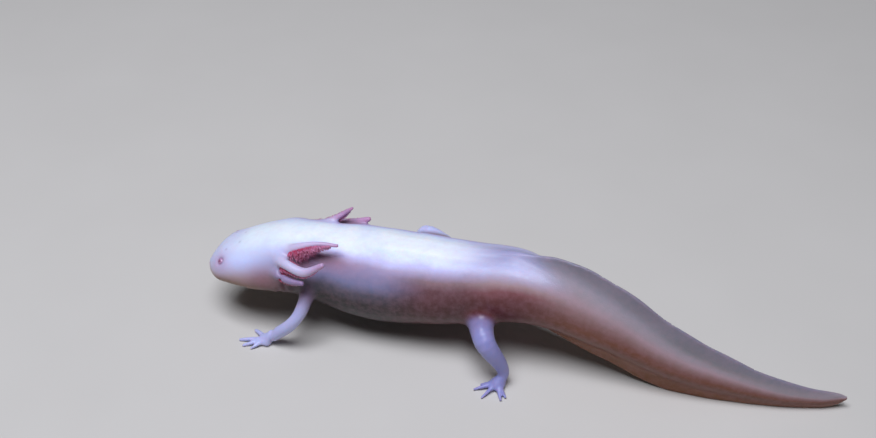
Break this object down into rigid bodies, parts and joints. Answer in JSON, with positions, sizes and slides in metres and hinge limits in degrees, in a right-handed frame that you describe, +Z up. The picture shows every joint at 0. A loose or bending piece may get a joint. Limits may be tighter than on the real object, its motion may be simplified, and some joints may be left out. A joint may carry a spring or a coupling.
{
  "type": "life-size axolotl model",
  "caption": "Pale adult axolotl with red feathery gills, walking along the floor with its finned tail laid down behind it.",
  "frame": {"origin": "middle of the bounding box, on the floor that the feet and tail rest on", "axes": "+Z up; +X from the head towards the tip of the tail; -Y towards the animal's own left side, the side that the picture shows"},
  "size_m": [0.2464, 0.0702, 0.0492],
  "materials": {
    "skin": "smooth moist skin, pale lavender white with a pink flush low on the flanks",
    "tail_skin": "smooth moist skin, pink beige over the muscle, browner below",
    "fin": "thin translucent grey mauve fin",
    "limb_skin": "smooth moist bluish lavender skin",
    "gill_stalk": "moist pink white stalks",
    "gill_fringe": "soft crimson filaments",
    "eye": "wet glossy pink eye with a small dark red pupil"
  },
  "bodies": {
    "root": {"head": "skin", "lower_jaw": "skin", "neck": "skin", "trunk_front": "skin", "trunk_rear": "skin", "pelvis": "skin", "tail_root": "tail_skin", "tail_middle": "tail_skin", "tail_rear": "tail_skin", "tail_tip": "tail_skin", "back_ridge": "fin", "tail_fin_upper_front": "fin", "tail_fin_upper_rear": "fin", "tail_fin_lower_front": "fin", "tail_fin_lower_rear": "fin", "eye_left": "eye", "eye_right": "eye", "front_left_upper": "limb_skin", "front_left_lower": "limb_skin", "front_left_foot": "limb_skin", "front_right_upper": "limb_skin", "front_right_lower": "limb_skin", "front_right_foot": "limb_skin", "hind_left_upper": "limb_skin", "hind_left_lower": "limb_skin", "hind_left_foot": "limb_skin", "hind_right_upper": "limb_skin", "hind_right_lower": "limb_skin", "hind_right_foot": "limb_skin", "gill_left_upper": "gill_stalk", "gill_left_middle": "gill_stalk", "gill_left_lower": "gill_stalk", "gill_right_upper": "gill_stalk", "gill_right_middle": "gill_stalk", "gill_right_lower": "gill_stalk", "gill_left_upper_fringe": "gill_fringe", "gill_left_middle_fringe": "gill_fringe", "gill_left_lower_fringe": "gill_fringe", "gill_right_upper_fringe": "gill_fringe", "gill_right_middle_fringe": "gill_fringe", "gill_right_lower_fringe": "gill_fringe"}
  },
  "joints": []
}
